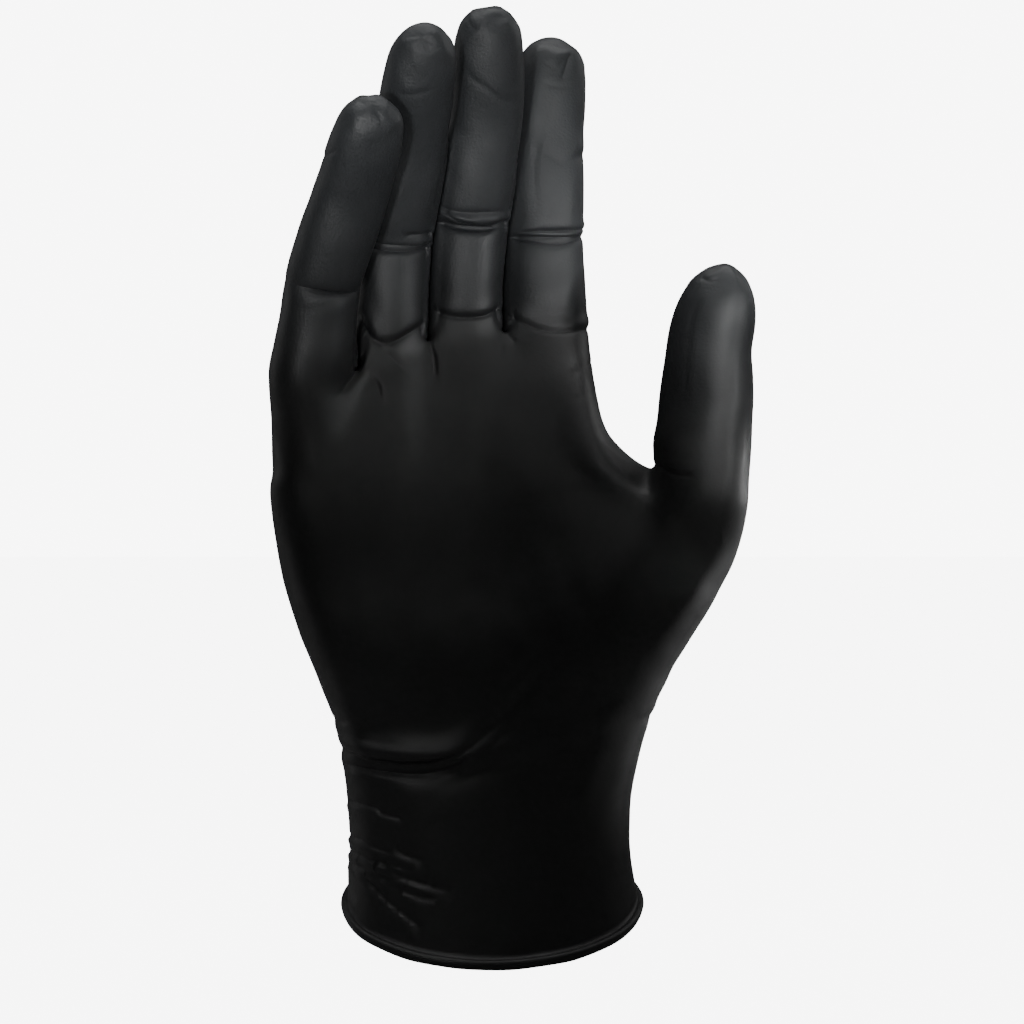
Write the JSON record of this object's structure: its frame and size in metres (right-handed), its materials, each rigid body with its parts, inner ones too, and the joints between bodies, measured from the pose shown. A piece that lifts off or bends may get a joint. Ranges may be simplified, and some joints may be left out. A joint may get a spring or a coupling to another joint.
{
  "type": "nitrile exam glove",
  "caption": "Thin black elastic glove for the right hand in its worn form: open cuff with a rolled edge, hollow palm, slightly curled finger stalls and a thumb stall.",
  "frame": {"origin": "middle of the cuff's opening, level with the lowest point of its rolled edge, where the wrist goes in", "axes": "+Z from the cuff to the fingertips, -Y out of the palm, +X to the thumb's side"},
  "size_m": [0.1215, 0.0732, 0.239],
  "materials": {
    "nitrile": "satin"
  },
  "bodies": {
    "root": {"nitrile_glove": "nitrile"}
  },
  "joints": []
}
